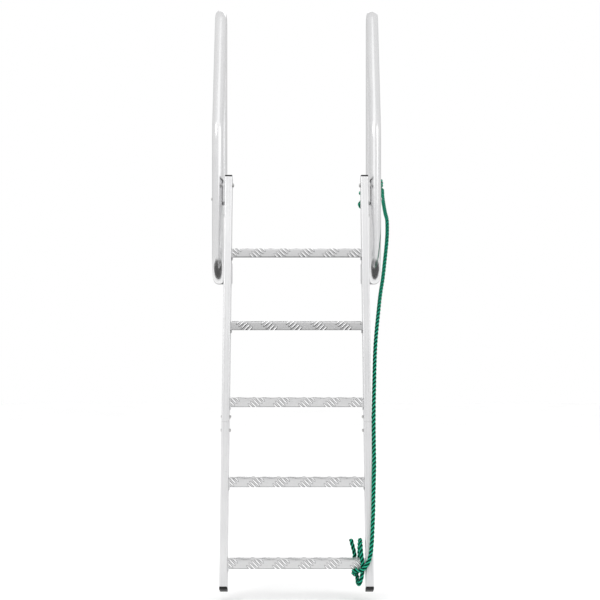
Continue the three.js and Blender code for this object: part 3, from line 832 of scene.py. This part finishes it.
def make_bolt(node, side, body, shank_r, high, socket):
    """A button-headed bolt: a threaded end, a plain shank and a domed head with a hexagonal socket."""
    end, crown, _, _, head_r = span(node)
    seat = crown - high
    thread = 2.6 * shank_r
    profile = [(0, end), (shank_r - 0.7 * MM, end), (shank_r, end + 0.7 * MM)]
    pitch = 1.25 * MM
    for i in range(int(thread / pitch)):
        at = end + 0.7 * MM + i * pitch
        profile += [(shank_r, at + 0.1 * MM), (shank_r - 0.6 * MM, at + pitch / 2),
                    (shank_r, at + pitch - 0.1 * MM)]
    profile += [(shank_r, seat), (head_r - 0.3 * MM, seat), (head_r, seat + 0.3 * MM),
                (head_r, seat + 0.22 * high)]
    rim = socket * 1.2
    for i in range(1, 8):
        angle = math.radians(12 * i)
        profile.append((rim + (head_r - rim) * math.cos(angle),
                        seat + high * (0.22 + 0.78 * math.sin(angle))))
    profile += [(rim, crown, socket), (rim, crown - 0.3 * MM, socket * 0.93),
                (rim, crown - 0.55 * high, socket * 0.93), (0, crown - 0.75 * high)]
    turned_piece(node, body, "stainless_steel", profile, side, closed=False)


def make_nut(node, side, body, bore, corner):
    """A locking nut: a chamfered hexagon and, towards the ladder's middle, a round collar."""
    inner, outer, _, _, _ = span(node)
    flat = corner * math.cos(math.pi / 6)
    collar = inner + 0.3 * (outer - inner)
    ease = 0.5 * MM
    profile = [
        (bore, outer), (flat, outer, flat), (corner, outer - ease, flat), (corner, collar + ease, flat),
        (flat * 0.97, collar, flat), (flat * 0.86, collar - 0.1 * MM), (flat * 0.84, inner + 0.5 * MM),
        (flat * 0.74, inner), (bore, inner),
    ]
    turned_piece(node, body, "stainless_steel", profile, side, sharp=25)


def make_round(node, side, body, slot, ease):
    """A washer, bush or sleeve with eased edges, round an M8 bolt."""
    inner, outer, _, _, radius = span(node)
    bore = BOLT_HOLE_R
    profile = [
        (bore, outer - ease / 2), (bore + ease / 2, outer), (radius - ease, outer), (radius, outer - ease),
        (radius, inner + ease), (radius - ease, inner), (bore + ease / 2, inner), (bore, inner + ease / 2),
    ]
    turned_piece(node, body, slot, profile, side)


def make_fasteners(word, side):
    for kind, high, socket in (("pivot", 3.5 * MM, 2.6 * MM), ("stop", 2.6 * MM, 2 * MM)):
        make_bolt(f"{kind}_bolt_{word}", side, "handrails", 4 * MM, high, socket)
    for kind in ("pivot", "stop"):
        make_nut(f"{kind}_nut_{word}", side, "handrails", bore=4.05 * MM, corner=7.5 * MM)
    make_round(f"pivot_washer_{word}", side, "handrails", "stainless_steel", ease=0.3 * MM)
    make_round(f"stop_sleeve_{word}", side, "handrails", "white_plastic", ease=0.8 * MM)
    make_round(f"pivot_bush_{word}", side, "ladder", "white_plastic", ease=0.6 * MM)
    for level in ("upper", "lower"):
        make_bolt(f"splice_bolt_{level}_{word}", side, "ladder", 3 * MM, high=3.3 * MM, socket=2 * MM)
        make_nut(f"splice_nut_{level}_{word}", side, "ladder", bore=3.05 * MM, corner=6.2 * MM)


# ------------ stiles

STILE_DEPTH = 60 * MM
STILE_CORNER = 3 * MM
STILE_TOP = 22 * MM
STILE_JOINT = -830 * MM
STILE_BOTTOM = -1360 * MM
JOINT_GAP = 0.3 * MM
GROOVE = {"deep": 0.5 * MM, "wide": 2.2 * MM}
FRONT_GROOVES = (-5 * MM, 5 * MM)
SIDE_GROOVES = (-19 * MM, 0, 19 * MM)


def grooved_rectangle(width, length, corner, on_width, on_length):
    """A rounded rectangle, anticlockwise, with shallow grooves along its sides. Each side's grooves are
    placed from its middle."""
    plain = rounded_rectangle(width, length, corner, 5)
    quarter = len(plain) // 4
    half = GROOVE["wide"] / 2
    deep = GROOVE["deep"]
    outline = []
    # After the corners come the sides that face +y, -x, -y and +x in turn.
    for number, (out_x, out_y) in enumerate(((0, 1), (-1, 0), (0, -1), (1, 0))):
        outline.extend(plain[number * quarter:(number + 1) * quarter])
        edge, places = (length / 2, on_width) if out_y else (width / 2, on_length)
        for place in places:
            for away, depth in ((-half, 0), (-half * 0.5, deep), (half * 0.5, deep), (half, 0)):
                along, out = place + away, edge - depth
                outline.append((out_x * out - out_y * along, out_y * out + out_x * along))
    return outline


def make_stile(word):
    low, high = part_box(f"upper_stile_{word}")
    x = (low.x + high.x) / 2
    width = high.x - low.x
    outline = grooved_rectangle(width, STILE_DEPTH, STILE_CORNER, FRONT_GROOVES, SIDE_GROOVES)
    girth = girth_of(outline)
    ease = 0.15 * MM
    for node, start, end in (
        (f"upper_stile_{word}", STILE_JOINT + JOINT_GAP / 2, STILE_TOP),
        (f"lower_stile_{word}", STILE_BOTTOM, STILE_JOINT - JOINT_GAP / 2),
    ):
        levels = ((start, ease), (start + ease, 0), (end - ease, 0), (end, ease))
        solid = Solid()
        rings = [[on_ladder(x + a, b, z) for a, b in inset(outline, inwards)] for z, inwards in levels]
        solid.sweep(rings, [z for z, _ in levels], girth)
        solid.piece(f"{node}_extrusion", "ladder", "extrusion", node, sharp=25)
    make_cap(f"top_cap_{word}", x, width, STILE_TOP, STILE_TOP + 6 * MM, 1.2 * MM)
    make_cap(f"bottom_cap_{word}", x, width, STILE_BOTTOM, STILE_BOTTOM - 10 * MM, 1.6 * MM)


def make_cap(node, x, width, seam, crown, ease):
    """A plastic plug's rim: a groove at the seam, straight sides and a rounded, slightly domed end."""
    way = math.copysign(1, crown - seam)
    outline = rounded_rectangle(width, STILE_DEPTH, STILE_CORNER, 6)
    levels = [(seam + way * 0.1 * MM, 0.8 * MM), (seam + way * 0.7 * MM, 0.6 * MM),
              (seam + way * 1.1 * MM, 0)]
    for i in range(6):
        angle = math.pi / 2 * i / 5
        levels.append((crown - way * ease * (1 - math.sin(angle)) - way * 0.5 * MM,
                       ease * (1 - math.cos(angle))))
    levels += [(crown - way * 0.2 * MM, 5 * MM), (crown, 10 * MM)]
    rings = [[on_ladder(x + a, b, z) for a, b in shrunk(outline, width, inwards)] for z, inwards in levels]
    solid = Solid()
    solid.sweep(rings, lengths_along([(z, inwards, 0) for z, inwards in levels]), girth_of(outline))
    solid.piece(f"{node}_moulding", "ladder", "black_plastic", node, sharp=50)


def shrunk(outline, width, inwards):
    """The cap's outline drawn in by a distance all round."""
    across = 1 - 2 * inwards / width
    along = 1 - 2 * inwards / STILE_DEPTH
    return [(a * across, b * along) for a, b in outline]


# ------------ steps

class FoldedSheet:
    """The outside of a step's channel: v runs over it from the front flange's lower edge to the rear's."""

    def __init__(self, low, high):
        self.low, self.high = low, high
        self.flange = high.z - low.z - FOLD_R
        self.tread = high.y - low.y - 2 * FOLD_R
        self.arc = FOLD_R * math.pi / 2
        self.length = 2 * self.flange + 2 * self.arc + self.tread

    def at(self, v):
        """The point (y, z) at v, and the direction that faces outwards there."""
        low, high = self.low, self.high
        if v > self.length / 2:
            (y, z), (out_y, out_z) = self.at(self.length - v)
            return (low.y + high.y - y, z), (-out_y, out_z)
        if v <= self.flange:
            return (low.y, low.z + v), (-1.0, 0.0)
        if v >= self.flange + self.arc:
            return (low.y + FOLD_R + v - self.flange - self.arc, high.z), (0.0, 1.0)
        angle = math.pi - (v - self.flange) / FOLD_R
        out = (math.cos(angle), math.sin(angle))
        return (low.y + FOLD_R + FOLD_R * out[0], high.z - FOLD_R + FOLD_R * out[1]), out

    def point(self, u, v, lift):
        (y, z), (out_y, out_z) = self.at(v)
        return (u, y + lift * out_y, z + lift * out_z)

    def fold(self, lift, steps=8):
        """Points (y, z) round the front fold, from the flange to the tread."""
        return [self.point(0, self.flange + self.arc * i / steps, lift)[1:] for i in range(steps + 1)]

    def mirrored(self, points):
        """The same points on the rear half, in the opposite order."""
        return [(self.low.y + self.high.y - y, z) for y, z in reversed(points)]


# Across a bar: how far out, how high and its mark. The foot is sunk into the sheet, and its mark of a
# quarter paints it with shade.
BAR_PROFILE = ((-1, -0.2, 0.25), (-0.62, 0.35, 0.25), (-0.42, 0.9, 0.9), (0, 1, 1),
               (0.42, 0.9, 0.9), (0.62, 0.35, 0.25), (1, -0.2, 0.25))


def lens_bar():
    """One raised bar as rows of (along, across, lift): pointed ends, a round back and a sunken foot."""
    columns = 12
    rows = []
    for i in range(columns + 1):
        s = -1 + 2 * i / columns
        width = BAR["width"] / 2 * (1 - s * s) ** 0.5
        high = BAR["high"] * (1 - s**4)
        along = s * BAR["length"] / 2
        rows.append([(along, width * t, high * part if part > 0 else -0.25 * MM)
                     for t, part, _ in BAR_PROFILE])
    return rows


def bar_mark(lift):
    """The mark on a bar at a height over the sheet."""
    heights = [part for _, part, _ in BAR_PROFILE[:4]]
    marks = [mark for _, _, mark in BAR_PROFILE[:4]]
    return float(np.interp(lift / BAR["high"], heights, marks))


def bar_mesh(middle, slant, sheet_length, half):
    """A bar on the flat sheet, cut where the sheet ends. Returns its (u, v, lift) points and its faces."""
    rows = lens_bar()
    work = bmesh.new()
    diagonal = math.sqrt(0.5)
    grid = []
    for row in rows:
        grid.append([
            work.verts.new((middle[0] + (along * diagonal + slant * across * diagonal),
                            middle[1] + (-slant * along * diagonal + across * diagonal), lift))
            for along, across, lift in row
        ])
    for one, two in zip(grid, grid[1:]):
        for a, b, c, d in zip(one, one[1:], two[1:], two):
            work.faces.new((a, b, c, d))
        work.faces.new((two[0], two[-1], one[-1], one[0]))
    work.faces.new(grid[0])
    work.faces.new(grid[-1][::-1])
    bmesh.ops.remove_doubles(work, verts=work.verts, dist=0.01 * MM)
    edge = 0.4 * MM
    cuts = (((0, edge, 0), (0, -1, 0)), ((0, sheet_length - edge, 0), (0, 1, 0)),
            ((edge - half, 0, 0), (-1, 0, 0)), ((half - edge, 0, 0), (1, 0, 0)))
    for at, away in cuts:
        everything = [*work.verts, *work.edges, *work.faces]
        bmesh.ops.bisect_plane(work, geom=everything, plane_co=at, plane_no=away, clear_outer=True)
        open_edges = [e for e in work.edges if e.is_boundary]
        if open_edges:
            bmesh.ops.holes_fill(work, edges=open_edges)
    work.verts.index_update()
    points = [tuple(v.co) for v in work.verts]
    faces = [[v.index for v in f.verts] for f in work.faces]
    work.free()
    return points, faces


def pattern_bars(half, sheet_length, swapped):
    """The middle and slant of every bar on a sheet. Groups of one slant repeat in rows, and groups of the
    other lie half a pitch from them both ways. swapped exchanges the two."""
    bars = []
    step = BAR["apart"] * math.sqrt(0.5)
    first_slant, shift = (-1, GROUP_PITCH / 2) if swapped else (1, 0.0)
    for slant, offset in ((first_slant, 0.0), (-first_slant, GROUP_PITCH / 2)):
        for row in range(-1, 3):
            v = GROUP_UP + offset + row * GROUP_PITCH
            for column in range(-4, 5):
                u = GROUP_ACROSS + offset + column * GROUP_PITCH + shift
                for k in range(BAR["in_group"]):
                    away = (k - (BAR["in_group"] - 1) / 2) * step
                    bars.append(((u + slant * away, v + away), slant))
    inside = BAR["length"] * 0.3
    return [(m, s) for m, s in bars
            if abs(m[0]) < half + inside and -inside < m[1] < sheet_length + inside]


def make_step(number):
    node = f"step_{number}"
    low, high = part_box(node)
    half = (high.x - low.x) / 2
    sheet = FoldedSheet(low, high)
    # The cut edges of the sheet are eased a little, and darker for a few millimetres.
    ease = 0.5 * MM
    darkened = 2.2 * MM
    inside = low.y + SHEET_THICK
    outer = [(low.y + ease, low.z), (low.y, low.z + ease), (low.y, low.z + darkened), *sheet.fold(0)]
    inner = [*reversed(sheet.fold(-SHEET_THICK)), (inside, low.z + ease), (inside - ease, low.z)]
    outline = [*outer, *sheet.mirrored(outer), *sheet.mirrored(inner), *inner]
    solid = Solid()
    spans = 24
    spread = [half * (2 * i / spans - 1) for i in range(spans + 1)]
    rings = [[(x, y, z) for y, z in outline] for x in spread]
    solid.sweep(rings, spread, girth_of(outline))
    for i, (_, _, z) in enumerate(solid.points):
        if z < low.z + 0.5 * darkened:
            solid.marks[i] = 0.25
    for middle, slant in pattern_bars(half, sheet.length, swapped=number == 2):
        points, faces = bar_mesh(middle, slant, sheet.length, half)
        first = solid.add_points(sheet.point(u, v, lift) for u, v, lift in points)
        # Each bar's marks paint shade at its foot and leave its back bright.
        for i, (_, _, lift) in enumerate(points):
            solid.marks[first + i] = bar_mark(lift)
        for face in faces:
            solid.face([first + i for i in face], [(points[i][1], points[i][0]) for i in face])
    solid.piece(f"{node}_checker_plate", "ladder", "checker_plate", node, sharp=40, mark="raised")
    make_step_welds(number, low, high)


def make_step_welds(number, low, high):
    """Beads under the tread's ends, and along the lower edge of both brackets."""
    welds = Solid()
    under = high.z - SHEET_THICK - 0.4 * MM
    for word, side in SIDES:
        bracket = f"step_bracket_{number}_{word}"
        bracket_low, bracket_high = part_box(bracket)
        inner, face = (side * away for away in span(bracket)[:2])
        bead(welds, between((inner, low.y + 7 * MM, under), (inner, high.y - 7 * MM, under)), 1.9 * MM)
        bead(welds, between((face, bracket_low.y + 12 * MM, bracket_low.z),
                            (face, bracket_high.y - 18 * MM, bracket_low.z)), 1.9 * MM)
    welds.piece(f"step_{number}_welds", "ladder", "extrusion", sharp=60, finish="weld")


# ------------ CAD pieces that stay

def finish_kept_nodes():
    """The pieces whose CAD shape is right get an eased edge and their material."""
    kept = {"step_bracket": "plate", "splice_sleeve": "extrusion"}
    for name, obj in frame["nodes"].items():
        for start, slot in kept.items():
            if name.startswith(start):
                weld = obj.modifiers.new("weld", "WELD")
                weld.merge_threshold = 0.01 * MM
                bevel = obj.modifiers.new("bevel", "BEVEL")
                bevel.width = 0.5 * MM
                bevel.segments = 2
                bevel.limit_method = "ANGLE"
                bevel.harden_normals = True
                obj.data.materials.clear()
                obj.data.materials.append(FINISHES[slot])


# ------------ stage and light

def stage_panels(name, panels, material):
    """A stage object of flat panels. Each is given as how far it reaches to the left and right, and two
    of its edges as (y, z). Its front is where the first edge is seen below the second, and -X to the
    left."""
    corners = [(x, *edge) for reach, first, second in panels
               for x, edge in ((-reach, first), (reach, first), (reach, second), (-reach, second))]
    mesh = bpy.data.meshes.new(name)
    mesh.from_pydata(corners, [], [tuple(range(4 * i, 4 * i + 4)) for i in range(len(panels))])
    mesh.materials.append(material)
    obj = add_object(name, mesh)
    return obj


def make_floor():
    half = 9
    level = cad_low.z - 22 * MM
    stage_panels("floor", [(half, (-half, level), (half, level))], FINISHES["floor"])


def area_light(name, place, target, size, power):
    data = bpy.data.lights.new(name, "AREA")
    data.shape = "RECTANGLE"
    data.size, data.size_y = size
    data.energy = power
    light = add_object(name, data)
    light.location = place
    light.rotation_euler = (Vector(target) - Vector(place)).to_track_quat("-Z", "Y").to_euler()


def reflector(name, panels, brightness, behind):
    """A card that only reflections see, as a photographer's flags and cards stay out of the picture. The
    panels' fronts have the first brightness."""
    material = bpy.data.materials.new(name)
    shading = Shading(material)
    shading.nodes.remove(shading.nodes["Principled BSDF"])
    card_side = shading.node("NewGeometry").outputs["Backfacing"]
    strength = shading.value(card_side, brightness, behind, 0.0, 1.0)
    glow = shading.node("Emission", Strength=strength).outputs["Emission"]
    shading.feed(shading.nodes["Material Output"], Surface=glow)
    card = stage_panels(name, panels, material)
    for ray in ("camera", "diffuse", "shadow", "transmission"):
        setattr(card, f"visible_{ray}", False)


def make_world():
    """A pale room: white to the eye, brighter above and behind, and greyer in front near the horizon."""
    world = bpy.data.worlds.new("world")
    bpy.context.scene.world = world
    shading = Shading(world)
    place = shading.node("TexCoord").outputs["Generated"]
    split = shading.node("SeparateXYZ", Vector=place).outputs
    y, z = (shading.value(split[axis], 0.0, 1.0, -1.0, 1.0) for axis in "YZ")
    front_to_back = shading.colours(y, [(0.0, 0.92), (0.3, 0.9), (0.6, 0.9), (1.0, 0.62)])
    up = shading.colours(z, [(0.2, 0.25), (0.48, 0.35), (0.52, 0.0), (0.66, 0.6)])
    colour = shading.mix(up, front_to_back, (0.95, 0.95, 0.95, 1))
    seen = shading.node("LightPath").outputs
    for ray, level in (("Is Diffuse Ray", 1.14), ("Is Camera Ray", 1.0)):
        colour = shading.mix(seen[ray], colour, (level, level, level, 1))
    shading.feed(shading.nodes["Background"], Color=colour, Strength=1.0)


def make_light():
    make_world()
    middle = (0, 0, -0.2)
    area_light("key", (-2.4, -3.2, 2.6), middle, (1.8, 1.8), 24)
    area_light("fill", (2.8, -2.8, 1.6), middle, (1.8, 2.4), 14)
    area_light("rear", (0.5, 3.0, 2.6), middle, (2.4, 1.6), 18)
    # A bright card between the rails and the lens, wider where the rails' slopes see it.
    fold = (-0.8, 1.15)
    reflector("bright_card", [(0.17, (-0.6, 0.0), fold), (0.6, fold, (-1.16, 3.2))], 1.3, 1.3)
    # A dark card over the water, below the bends. It stands up behind the ladder and leaves a slot for
    # it, and its underside and the ladder's side of the upright panel are as light as the room.
    reach = 1.2
    outer, slot_front, slot_back, inner = ((y, -0.6) for y in (-1.35, -0.36, -0.274, 0.1))
    upright_top = (-0.17, -0.26)
    dark = [(reach, outer, slot_front), (reach, upright_top, slot_back), (reach, slot_back, inner)]
    reflector("dark_card", dark, 0.1, 0.85)
    bpy.context.scene.view_settings.view_transform = "Standard"


# ------------ everything

make_camera()
make_rope()
for word, side in SIDES:
    make_handrail(word, side)
    make_dock_plate(word, side)
    make_foot_plate(word)
    make_hinge_plate(word, side)
    make_fasteners(word, side)
    make_stile(word)
for number in range(1, 6):
    make_step(number)
finish_kept_nodes()
make_floor()
make_light()
